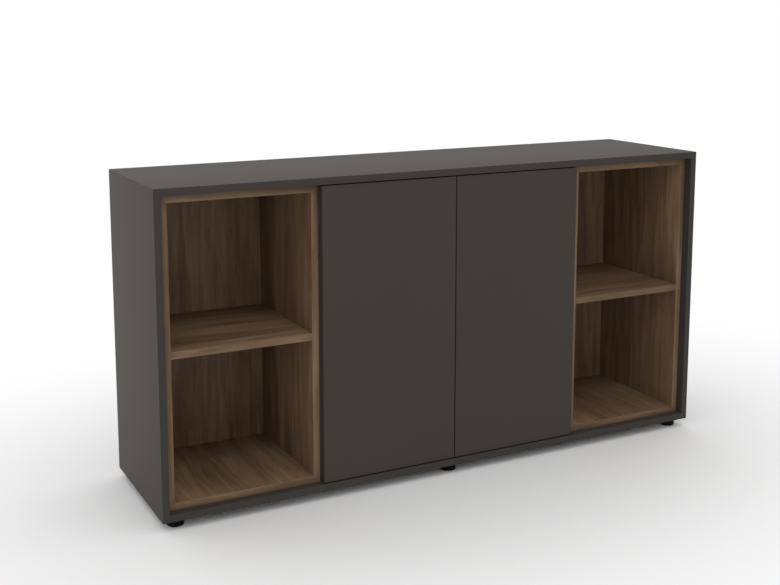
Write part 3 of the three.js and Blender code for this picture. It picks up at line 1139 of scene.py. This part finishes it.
@dataclass
class CupHinges:
    """The four concealed hinges, each shaped once about the back corner of its door's edge and copied.

    Sizes in millimetres: X runs inwards from the door's edge, Y backwards from its back and Z up.

    Attributes:
        cup_middle: Distance of the cup's middle from the door's edge.
        cup_radius: Outer radius of the cup.
        cup_depth: Depth of the cup.
        cup_wall: Thickness of its wall and floor.
        flange: Width, thickness and length of the flange.
        flange_corner: Radius of its corners.
        arm_pivot: Place of the arm's pin.
        pin: Radius of that pin.
        link_tip: Place of the link's free end.
        link: Thickness and depth of the link.
        link_groove: Margin and depth of its stamped grooves.
        eye: Radius of the link's eye and of its bore.
        rolled_tip: Radius of its rolled end.
        arm: Foot, top, nose, tail and half depth of the arm.
        arm_rounding: Radius of its shoulders, nose and long edges.
        plate: Foot, top, front and rear of the mounting plate.
        wing: Thickness, front, rear and half length of the plate's wings.
        wing_corner: Radius of their corners.
        back_gap: Gap between the flange and the door's back.
        cup_screw: Distance of the cup's screws from its middle.
        plate_screw: Distance of the plate's screws from its middle.
        arm_screws: Places of the arm's screws along it.
        seat: Radius and depth of the seats of these screws.
        window: Front, rear, half width and depth of the arm's window.
        fork: Side play of the link in the arm's nose, and length of that slot behind the pin.
    """

    cup_middle: float = 22.5
    cup_radius: float = 17.1
    cup_depth: float = 11.8
    cup_wall: float = 1.0
    flange: tuple[float, float, float] = (17.0, 1.2, 62.0)
    flange_corner: float = 7.0
    arm_pivot: Pair = (32.65, -7.166)
    pin: float = 1.4
    link_tip: Pair = (13.534, -2.781)
    link: Pair = (2.0, 8.0)
    link_groove: Pair = (1.6, 0.4)
    eye: Pair = (3.0, 1.7)
    rolled_tip: float = 1.7
    arm: tuple[float, float, float, float, float] = (21.9, 35.65, -9.766, 62.0, 6.4)
    arm_rounding: tuple[float, float, float] = (5.0, 2.2, 1.2)
    plate: tuple[float, float, float, float] = (15.7, 21.7, 12.0, 62.0)
    wing: tuple[float, float, float, float] = (3.0, 30.0, 44.0, 24.0)
    wing_corner: float = 6.0
    back_gap: float = 0.2
    cup_screw: float = 24.0
    plate_screw: float = 16.0
    arm_screws: Pair = (20.0, 46.0)
    seat: Pair = (4.0, 0.9)
    window: tuple[float, float, float, float] = (30.0, 38.0, 2.2, 1.6)
    fork: Pair = (0.4, 10.0)

    def build(self) -> None:
        """Shapes one hinge and copies it to the four places."""
        patterns = {
            "cup": self.cup(), "link": self.link_bar(), "arm": self.arm_bar(), "plate": self.mounting_plate(),
        }
        for side in Side:
            low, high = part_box(f"{side.word}_door")
            edge = low[0] if side is Side.LEFT else high[0]
            turn = Matrix.Identity(4) if side is Side.LEFT else Matrix.Rotation(pi, 4, "Y")
            for level in ("lower", "upper"):
                name = f"{side.word}_{level}_hinge"
                cup_low, cup_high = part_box(f"{name}_cup")
                move = Matrix.Translation((edge, high[1], (cup_low[2] + cup_high[2]) / 2)) @ turn
                bodies = {"cup": f"{side.word}_door", "link": f"{name}_link", "arm": ROOT, "plate": ROOT}
                for part, pattern in patterns.items():
                    pattern.copy(f"{name}_{part}_nickel", move).finish(STEEL, bodies[part], f"{name}_{part}")
                self.dress(name, side, move)
        for pattern in patterns.values():
            pattern.discard()

    def dress(self, name: str, side: Side, move: Matrix) -> None:
        """Adds the screws of one hinge.

        Args:
            name: The hinge's name.
            side: The side of its door.
            move: Its move from the pattern.
        """
        flange_top = self.back_gap + self.flange[1]
        places = [(self.cup_middle, flange_top, way * self.cup_screw) for way in (-1, 1)]
        screws = [move @ facing("Y", 1, tuple(size * MM for size in place)) for place in places]
        ScrewHeads(radius=3.3, height=0.5).drive(f"{name}_cup_screws", screws, f"{side.word}_door")
        thickness, front, rear, _ = self.wing
        places = [(self.plate[0] + thickness, (front + rear) / 2, way * self.plate_screw) for way in (-1, 1)]
        places += [(self.arm[1] - self.seat[1], along, 0.0) for along in self.arm_screws]
        screws = [move @ facing("X", 1, tuple(size * MM for size in place)) for place in places]
        ScrewHeads(radius=3.0, height=0.6).drive(f"{name}_plate_screws", screws, ROOT)

    def cup(self) -> Workpiece:
        """Turns the cup and presses its flange on.

        Returns:
            The cup.
        """
        outer, wall, floor = self.cup_radius, self.cup_wall, -self.cup_depth
        inner = outer - wall
        bowl = Workpiece.turned("hinge_cup", (
            (0.0, floor), (outer - 1.5, floor), (outer - 0.5, floor + 0.5), (outer, floor + 1.5),
            (outer, 0.3), (inner, 0.3), (inner, floor + 2.2), (inner - 1.2, floor + wall),
            (0.0, floor + wall),
        ), steps=64)
        bowl.place(Matrix.Translation((self.cup_middle * MM, 0.0, 0.0)) @ Matrix.Rotation(-pi / 2, 4, "X"))
        width, thickness, length = (size * MM for size in self.flange)
        middle, back = self.cup_middle * MM, self.back_gap * MM
        flange = Workpiece.block(
            "flange", (middle - width / 2, back, -length / 2),
            (middle + width / 2, back + thickness, length / 2),
        )
        flange.pick_edges(lambda centre, along: abs(along.y) > STRAIGHT)
        flange.bevel(self.flange_corner * MM, segments=6)
        flange.pick_edges(lambda centre, along: centre.y > back + thickness - NEAR).bevel(0.4 * MM)
        mouth = Workpiece.drum("mouth", (middle, 0.0, 0.0), (inner + 0.3) * MM, 8 * MM, Axis.Y, sides=64)
        flange.combine(mouth, "DIFFERENCE")
        return bowl.combine(flange, "UNION")

    def link_bar(self) -> Workpiece:
        """Shapes the link: a bar with a stamped groove, an eye for the arm's pin and a rolled tip.

        Returns:
            The link.
        """
        pivot = Vector((*self.arm_pivot, 0.0)) * MM
        tip = Vector((*self.link_tip, 0.0)) * MM
        thickness, depth = (size * MM for size in self.link)
        margin, sunk = (size * MM for size in self.link_groove)
        eye_radius, bore_radius = (size * MM for size in self.eye)
        reach = (tip - pivot).length
        thin, deep = thickness / 2, depth / 2
        bar = Workpiece.block("hinge_link", (0.0, -thin, -deep), (reach, thin, deep))
        bar.pick_faces(lambda middle, normal: abs(normal.y) > STRAIGHT)
        bar.inset(margin).inset(sunk, -sunk)
        eye = Workpiece.drum("eye", (0.0, 0.0, 0.0), eye_radius, depth, Axis.Z, sides=32)
        eye.pick_edges().bevel(0.3 * MM)
        rolled = Workpiece.drum("tip", (reach, 0.0, 0.0), self.rolled_tip * MM, depth, Axis.Z)
        rolled.pick_edges().bevel(0.2 * MM)
        bore = Workpiece.drum("bore", (0.0, 0.0, 0.0), bore_radius, 2 * depth, Axis.Z)
        bar.combine(eye, "UNION").combine(rolled, "UNION").combine(bore, "DIFFERENCE")
        turn = Vector((1.0, 0.0, 0.0)).rotation_difference(tip - pivot).to_matrix().to_4x4()
        return bar.place(Matrix.Translation(pivot) @ turn)

    def arm_bar(self) -> Workpiece:
        """Shapes the arm: a bar with rounded shoulders, a forked nose with its pin, and screw seats.

        Returns:
            The arm.
        """
        foot, top, nose, tail, half = (size * MM for size in self.arm)
        shoulder, nose_radius, long_edge = (size * MM for size in self.arm_rounding)
        arm = Workpiece.block("hinge_arm", (foot, nose, -half), (top, tail, half))
        arm.pick_edges(
            lambda middle, along: abs(along.z) > STRAIGHT and middle.x > top - NEAR and middle.y > 0
        )
        arm.bevel(shoulder, segments=5)
        arm.pick_edges(lambda middle, along: abs(along.z) > STRAIGHT and middle.y < nose + NEAR)
        arm.bevel(nose_radius, segments=4)
        seated = foot + 0.1 * MM  # Edges up to here lie on the plate and stay sharp.
        arm.pick_edges(lambda middle, along: abs(middle.z) > half - NEAR and middle.x > seated)
        arm.bevel(long_edge, segments=3)
        play, behind = (size * MM for size in self.fork)
        slot_half = self.link[1] / 2 * MM + play
        pivot_x, pivot_y = (size * MM for size in self.arm_pivot)
        slot = Workpiece.block(
            "slot", (foot - MM, nose - MM, -slot_half), (top + MM, pivot_y + behind, slot_half),
        )
        arm.combine(slot, "DIFFERENCE")
        radius, depth = (size * MM for size in self.seat)
        for along in self.arm_screws:
            seat = Workpiece.drum("seat", (top, along * MM, 0.0), radius, 2 * depth, Axis.X, sides=32)
            arm.combine(seat, "DIFFERENCE")
        front, rear, wide, depth = (size * MM for size in self.window)
        window = Workpiece.block("window", (top - depth, front, -wide), (top + MM, rear, wide))
        window.pick_edges(lambda middle, along: abs(along.x) > STRAIGHT).bevel(2 * MM, segments=4)
        arm.combine(window, "DIFFERENCE")
        pin = Workpiece.drum("pin", (pivot_x, pivot_y, 0.0), self.pin * MM, 2 * half, Axis.Z)
        pin.pick_edges().bevel(0.3 * MM)
        return arm.combine(pin, "UNION")

    def mounting_plate(self) -> Workpiece:
        """Shapes the mounting plate: a rail for the arm across two rounded wings.

        Returns:
            The plate.
        """
        foot, top, front, rear = (size * MM for size in self.plate)
        thickness, wing_front, wing_rear, wing_half = (size * MM for size in self.wing)
        half = self.arm[4] * MM
        rail = Workpiece.block("hinge_plate", (foot, front, -half), (top, rear, half))
        rail.pick_edges(lambda middle, along: middle.x > top - NEAR).bevel(0.8 * MM)
        wing_top = foot + thickness
        wing = Workpiece.block("wing", (foot, wing_front, -wing_half), (wing_top, wing_rear, wing_half))
        wing.pick_edges(lambda middle, along: abs(along.x) > STRAIGHT)
        wing.bevel(self.wing_corner * MM, segments=6)
        wing.pick_edges(lambda middle, along: middle.x > wing_top - NEAR).bevel(0.6 * MM)
        return rail.combine(wing, "UNION")


@dataclass
class PushLatch:
    """A push latch under the top panel: a moulded housing and its plunger with a magnet tip.

    Attributes:
        side: The door that it pushes.
        edge: Radius of the housing's edges.
        groove: Margin and depth of the grooves in its sides.
        bore: Radius and depth of the plunger's bore.
        collar: Outer radius and length of the collar round the bore.
        screws: Distance of one screw from the housing's front and of the other from its rear.
    """

    side: Side
    edge: float = 1.6 * MM
    groove: Pair = (4.0 * MM, 0.8 * MM)
    bore: Pair = (3.3 * MM, 74.0 * MM)
    collar: Pair = (6.0 * MM, 0.7 * MM)
    screws: Pair = (14.0 * MM, 10.0 * MM)

    def build(self) -> None:
        """Shapes the housing and the plunger."""
        self.housing()
        self.plunger()

    def housing(self) -> None:
        """Shapes the housing: a rounded case with side grooves, a collar and the plunger's bore."""
        node = f"{self.side.word}_latch_housing"
        low, high = corners(node)
        middle = (low + high) / 2
        case = Workpiece.block(f"{node}_case", low, high)
        case.pick_edges(lambda centre, along: centre.z < high.z - MM).bevel(self.edge, segments=4)
        margin, sunk = self.groove
        case.pick_faces(lambda centre, normal: abs(normal.x) > STRAIGHT).inset(margin).inset(sunk, -sunk)
        mouth = (middle.x, low.y, middle.z)
        radius, length = self.collar
        collar = Workpiece.drum("collar", mouth, radius, 2 * length, Axis.Y, sides=40)
        collar.pick_edges(lambda centre, along: centre.y < low.y).bevel(0.4 * MM)
        case.combine(collar, "UNION")
        radius, length = self.bore
        case.combine(Workpiece.drum("bore", mouth, radius, 2 * length, Axis.Y, sides=40), "DIFFERENCE")
        case.finish(GREY_PLASTIC, ROOT, node)
        front, rear = low.y + self.screws[0], high.y - self.screws[1]
        places = [facing("Z", -1, (middle.x, along, low.z)) for along in (front, rear)]
        ScrewHeads(radius=3.0, height=0.6).drive(f"{self.side.word}_latch_screws", places, ROOT)

    def plunger(self) -> None:
        """Turns the plunger, with a shoulder behind its magnet tip."""
        body = f"{self.side.word}_latch_plunger"
        low, high = corners(body)
        middle = (low + high) / 2
        length = (high.y - low.y) / MM
        move = Matrix.Translation((middle.x, low.y, middle.z)) @ Matrix.Rotation(-pi / 2, 4, "X")
        rod = Workpiece.turned(f"{body}_rod", (
            (0.0, 0.6), (2.1, 0.6), (2.1, 0.0), (2.6, 0.0), (3.0, 0.4), (3.0, 4.0), (2.7, 4.3), (2.7, 5.2),
            (3.0, 5.5), (3.0, length - 0.5), (2.5, length), (0.0, length),
        ), steps=32)
        rod.place(move).finish(BLACK_PLASTIC, body, body)
        magnet = Workpiece.turned(f"{body}_magnet", (
            (0.0, 0.2), (1.8, 0.2), (2.05, 0.45), (2.05, 0.7), (0.0, 0.7),
        ), steps=32)
        magnet.place(move).finish(STEEL, body)


@dataclass
class LevellingFeet:
    """Six round levelling feet, turned once and copied: a pad on a threaded stem in a socket.

    Sizes are in millimetres, as the outlines that are turned.

    Attributes:
        edge: Height of the pad's upright side.
        rubber: Thickness of the rubber under the pad.
        stem: Radius of the stem over its thread.
        thread: Depth and pitch of the thread.
        bore: Radius of the socket's bore.
        boss: Radius of the socket's boss.
        barbs: Places of the grooves round the boss, above the flange.
        clearance: Gap between pad and flange, and between flange and panel.
    """

    edge: float = 12.0
    rubber: float = 1.8
    stem: float = 4.0
    thread: Pair = (0.5, 1.25)
    bore: float = 4.3
    boss: float = 7.0
    barbs: tuple[float, ...] = (2.6, 5.6, 8.6)
    clearance: float = 0.2

    def build(self) -> None:
        """Turns the three shapes and copies them to the six places."""
        pad, socket = (Extent.of(node) for node in ("front_left_foot", "front_left_foot_socket"))
        patterns = {
            "pad": Workpiece.turned("foot_pad", self.pad(pad, socket), steps=64),
            "glide": Workpiece.turned("foot_glide", self.glide(pad), steps=64),
            "socket": Workpiece.turned("foot_socket", self.socket(socket), steps=64),
        }
        for row in ("front", "rear"):
            for column in ("left", "middle", "right"):
                name = f"{row}_{column}_foot"
                low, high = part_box(name)
                move = Matrix.Translation(((low[0] + high[0]) / 2, (low[1] + high[1]) / 2, 0.0))
                patterns["pad"].copy(f"{name}_pad", move).finish(FOOT_PLASTIC, name, name)
                patterns["glide"].copy(f"{name}_glide", move).finish(RUBBER, name)
                nylon = patterns["socket"].copy(f"{name}_socket_nylon", move)
                nylon.finish(FOOT_PLASTIC, ROOT, f"{name}_socket")
        for pattern in patterns.values():
            pattern.discard()

    def pad(self, pad: Extent, socket: Extent) -> list[Pair]:
        """Outlines the pad and its threaded stem.

        Args:
            pad: Extent of the CAD pad.
            socket: Extent of the CAD socket.

        Returns:
            Points of radius and height.
        """
        wide, neck, top = pad.radius, socket.radius, socket.low - self.clearance
        depth, pitch = self.thread
        points = [
            (0.0, self.rubber - 0.4), (wide - 2.2, self.rubber - 0.4), (wide - 2.0, 2.0), (wide - 0.6, 2.2),
            (wide, 2.8), (wide, self.edge - 1.0), (wide - 0.2, self.edge - 0.2),
            (wide - 0.6, self.edge + 0.6), (neck + 0.4, top - 0.9), (neck - 0.3, top - 0.2),
            (neck - 1.2, top), (self.stem + 1.2, top),
        ]
        turns = int((pad.high - top) / pitch)
        for turn in range(turns):
            crest = top + 0.2 + turn * pitch
            points += [(self.stem, crest), (self.stem - depth, crest + pitch / 2)]
        return [*points, (self.stem - depth, pad.high), (0.0, pad.high)]

    def glide(self, pad: Extent) -> list[Pair]:
        """Outlines the rubber under the pad.

        Args:
            pad: Extent of the CAD pad.

        Returns:
            Points of radius and height.
        """
        wide = pad.radius
        return [
            (0.0, 0.0), (wide - 3.4, 0.0), (wide - 2.5, 0.3), (wide - 2.1, 1.0), (wide - 2.1, self.rubber),
            (0.0, self.rubber),
        ]

    def socket(self, socket: Extent) -> list[Pair]:
        """Outlines the flange and the grooved boss of the socket, round its bore.

        Args:
            socket: Extent of the CAD socket.

        Returns:
            Points of radius and height.
        """
        wide, low, high = socket.radius, socket.low, socket.high
        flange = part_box("bottom_panel")[0][2] / MM - self.clearance
        points = [
            (self.bore, low + 0.5), (self.bore + 0.5, low), (wide - 1.2, low), (wide - 0.4, low + 0.3),
            (wide, low + 1.0), (wide, flange - 0.5), (wide - 0.5, flange), (self.boss, flange),
        ]
        for barb in self.barbs:
            groove = flange + barb
            points += [(self.boss, groove - 0.4), (self.boss - 0.3, groove), (self.boss, groove + 0.4)]
        points += [(self.boss, high - 0.8), (self.boss - 0.6, high), (self.bore, high)]
        return [*points, points[0]]


@dataclass(frozen=True)
class Softbox:
    """A soft lamp.

    Attributes:
        name: Its name.
        place: Where it hangs.
        width: Its width.
        depth: Its depth.
        power: Its power in watts.
        aim: Where it points.
    """

    name: str
    place: Point
    width: float
    depth: float
    power: float
    aim: Point = (0.0, 0.0, 0.4)

    def hang(self) -> bpy.types.Object:
        """Hangs the lamp.

        Returns:
            The lamp.
        """
        light = bpy.data.lights.new(self.name, "AREA")
        light.shape = "RECTANGLE"
        light.size, light.size_y, light.energy = self.width, self.depth, self.power
        lamp = bpy.data.objects.new(self.name, light)
        bpy.context.collection.objects.link(lamp)
        lamp.location = self.place
        lamp.rotation_euler = (Vector(self.aim) - Vector(self.place)).to_track_quat("-Z", "Y").to_euler()
        return lamp


@dataclass
class Studio:
    """A plain pale floor, soft light and the camera.

    Attributes:
        eye: Place of the camera.
        turn: Its turn to the side, in degrees.
        dip: Its dip below the horizon, in degrees.
        lens: Its focal length, in millimetres.
        sensor: Width of its sensor, in millimetres.
        rise: Upright shift of its lens, as a share of the picture's width.
        floor_size: Length of the floor's sides.
        floor_gain: Brightness of the floor, which makes up for the lamps that leave it out.
        white_from: Reach along X and Y from which the floor is plain white.
        shadow_to: Share of that reach up to which the floor has its full shadow.
        dome: Strength of the world's light.
        fill: Strength of the light that the floor gives the object.
        fill_edge: How far outside the object's outline that light has its full strength.
        lamps: The soft lamps.
    """

    eye: Point = (-1.528, -2.763, 1.211)
    turn: float = -27.46
    dip: float = 8.54
    lens: float = 53.9
    sensor: float = 36.0
    rise: float = -0.13
    floor_size: float = 60.0
    floor_gain: float = 1.57
    white_from: Pair = (2.15, 1.45)
    shadow_to: float = 0.3
    dome: float = 0.57
    fill: float = 0.85
    fill_edge: float = 5 * MM
    lamps: tuple[Softbox, ...] = (
        Softbox("front_softbox", (-0.6, -4.0, 5.2), 3.0, 2.0, 102.0),
        Softbox("left_softbox", (-4.5, 0.6, 1.1), 2.0, 2.0, 26.0, aim=(-0.8, 0.0, 0.4)),
        Softbox("top_softbox", (0.0, -0.7, 4.6), 2.4, 1.0, 17.5),
        Softbox("low_softbox", (-2.8, -3.5, 1.0), 2.0, 2.0, 13.5),
    )

    def build(self) -> None:
        """Sets the floor, the world, the lamps and the camera."""
        floor = self.floor()
        self.world()
        unlit = bpy.data.collections.new("floor_without_lamps")
        unlit.objects.link(floor)
        unlit.collection_objects[0].light_linking.link_state = "EXCLUDE"
        for softbox in self.lamps:
            softbox.hang().light_linking.receiver_collection = unlit
        self.camera()
        bpy.context.scene.view_settings.view_transform = "Standard"

    def seen(self, tree: bpy.types.NodeTree) -> bpy.types.NodeSocket:
        """Marks the rays that see the backdrop: those of the camera, of gloss and of glass.

        Args:
            tree: The tree that asks.

        Returns:
            A socket that is 1 on such rays.
        """
        path = add_node(tree, "ShaderNodeLightPath")
        gloss = add_node(tree, "ShaderNodeMath", {
            0: path.outputs["Is Camera Ray"], 1: path.outputs["Is Glossy Ray"],
        }, operation="MAXIMUM")
        glass = add_node(tree, "ShaderNodeMath", {
            0: gloss.outputs[0], 1: path.outputs["Is Transmission Ray"],
        }, operation="MAXIMUM")
        return glass.outputs[0]

    def world(self) -> None:
        """Makes a white backdrop that lights the object softly."""
        world = bpy.data.worlds.new("white_backdrop")
        bpy.context.scene.world = world
        world.use_nodes = True
        tree = world.node_tree
        shader = tree.nodes["Background"]
        strength = add_node(tree, "ShaderNodeMapRange", {
            "Value": self.seen(tree), "To Min": self.dome, "To Max": 1.0,
        })
        shader.inputs["Color"].default_value = WHITE
        tree.links.new(strength.outputs["Result"], shader.inputs["Strength"])

    def floor(self) -> bpy.types.Object:
        """Lays a pale floor that is seen with the object's shadow, and gives the object an even light.

        Returns:
            The floor.
        """
        Workpiece.clear()
        bpy.ops.mesh.primitive_plane_add(size=self.floor_size, location=(0.0, 0.0, 0.0))
        floor = Workpiece.started("studio_floor").obj
        paint = bpy.data.materials.new("white_painted_floor")
        paint.use_nodes = True
        tree = paint.node_tree
        tree.nodes.remove(tree.nodes["Principled BSDF"])
        place = add_node(tree, "ShaderNodeTexCoord").outputs["Object"]
        both = add_node(tree, "ShaderNodeMixShader", {
            0: self.seen(tree), 1: self.even_light(tree, place), 2: self.shaded_paint(tree, place),
        })
        tree.links.new(both.outputs["Shader"], tree.nodes["Material Output"].inputs["Surface"])
        floor.data.materials.append(paint)
        return floor

    def shaded_paint(self, tree: bpy.types.NodeTree, place: bpy.types.NodeSocket) -> bpy.types.NodeSocket:
        """Paints the floor that is seen: shaded by the dome near the object, and white further out.

        Args:
            tree: The floor's nodes.
            place: The place on the floor.

        Returns:
            The shader.
        """
        paint = add_node(tree, "ShaderNodeBsdfDiffuse", {"Color": (self.floor_gain,) * 3 + (1.0,)})
        reach_x, reach_y = self.white_from
        spread = add_node(tree, "ShaderNodeMapping", {
            "Vector": place, "Scale": (1 / reach_x, 1 / reach_y, 0.0),
        })
        distance = add_node(tree, "ShaderNodeVectorMath", {0: spread.outputs["Vector"]}, operation="LENGTH")
        away = add_node(tree, "ShaderNodeMapRange", {
            "Value": distance.outputs["Value"], "From Min": self.shadow_to, "From Max": 1.0,
        }, interpolation_type="SMOOTHSTEP")
        white = add_node(tree, "ShaderNodeEmission", {"Color": WHITE, "Strength": 1.0})
        blend = add_node(tree, "ShaderNodeMixShader", {
            0: away.outputs["Result"], 1: paint.outputs["BSDF"], 2: white.outputs["Emission"],
        })
        return blend.outputs["Shader"]

    def even_light(self, tree: bpy.types.NodeTree, place: bpy.types.NodeSocket) -> bpy.types.NodeSocket:
        """Makes the light that the object gets from the floor, but not from the floor that it covers.

        It is even, so that an upright board is as bright below as above.

        Args:
            tree: The floor's nodes.
            place: The place on the floor.

        Returns:
            The shader.
        """
        across = add_node(tree, "ShaderNodeVectorMath", {0: place}, operation="ABSOLUTE")
        outside = add_node(tree, "ShaderNodeVectorMath", {
            0: across.outputs["Vector"], 1: CAD_BOUNDS[1],
        }, operation="SUBTRACT")
        beside = add_node(tree, "ShaderNodeSeparateXYZ", {"Vector": outside.outputs["Vector"]})
        clear = add_node(tree, "ShaderNodeMath", {
            0: beside.outputs["X"], 1: beside.outputs["Y"],
        }, operation="MAXIMUM")
        lit = add_node(tree, "ShaderNodeMapRange", {
            "Value": clear.outputs[0], "From Max": self.fill_edge, "To Max": self.fill,
        })
        fill = add_node(tree, "ShaderNodeEmission", {"Color": WHITE, "Strength": lit.outputs["Result"]})
        return fill.outputs["Emission"]

    def camera(self) -> None:
        """Sets the camera at the photograph's place."""
        data = bpy.data.cameras.new("camera")
        data.sensor_width = self.sensor
        data.lens = self.lens
        data.shift_y = self.rise
        camera = bpy.data.objects.new("camera", data)
        bpy.context.collection.objects.link(camera)
        camera.location = self.eye
        camera.rotation_euler = (radians(90 - self.dip), 0.0, radians(self.turn))
        bpy.context.scene.camera = camera


def main() -> None:
    """Builds the credenza and its studio."""
    logging.basicConfig(level=logging.INFO, format="%(name)s: %(message)s")
    carcass = Carcass()
    carcass.build()
    carcass.dress()
    for side in Side:
        Niche(side).build()
    cupboard = Cupboard()
    cupboard.build()
    cupboard.dress()
    for side in Side:
        door = Door(side)
        door.build()
        door.dress()
        PushLatch(side).build()
    CupHinges().build()
    LevellingFeet().build()
    Studio().build()


if __name__ == "__main__":
    main()
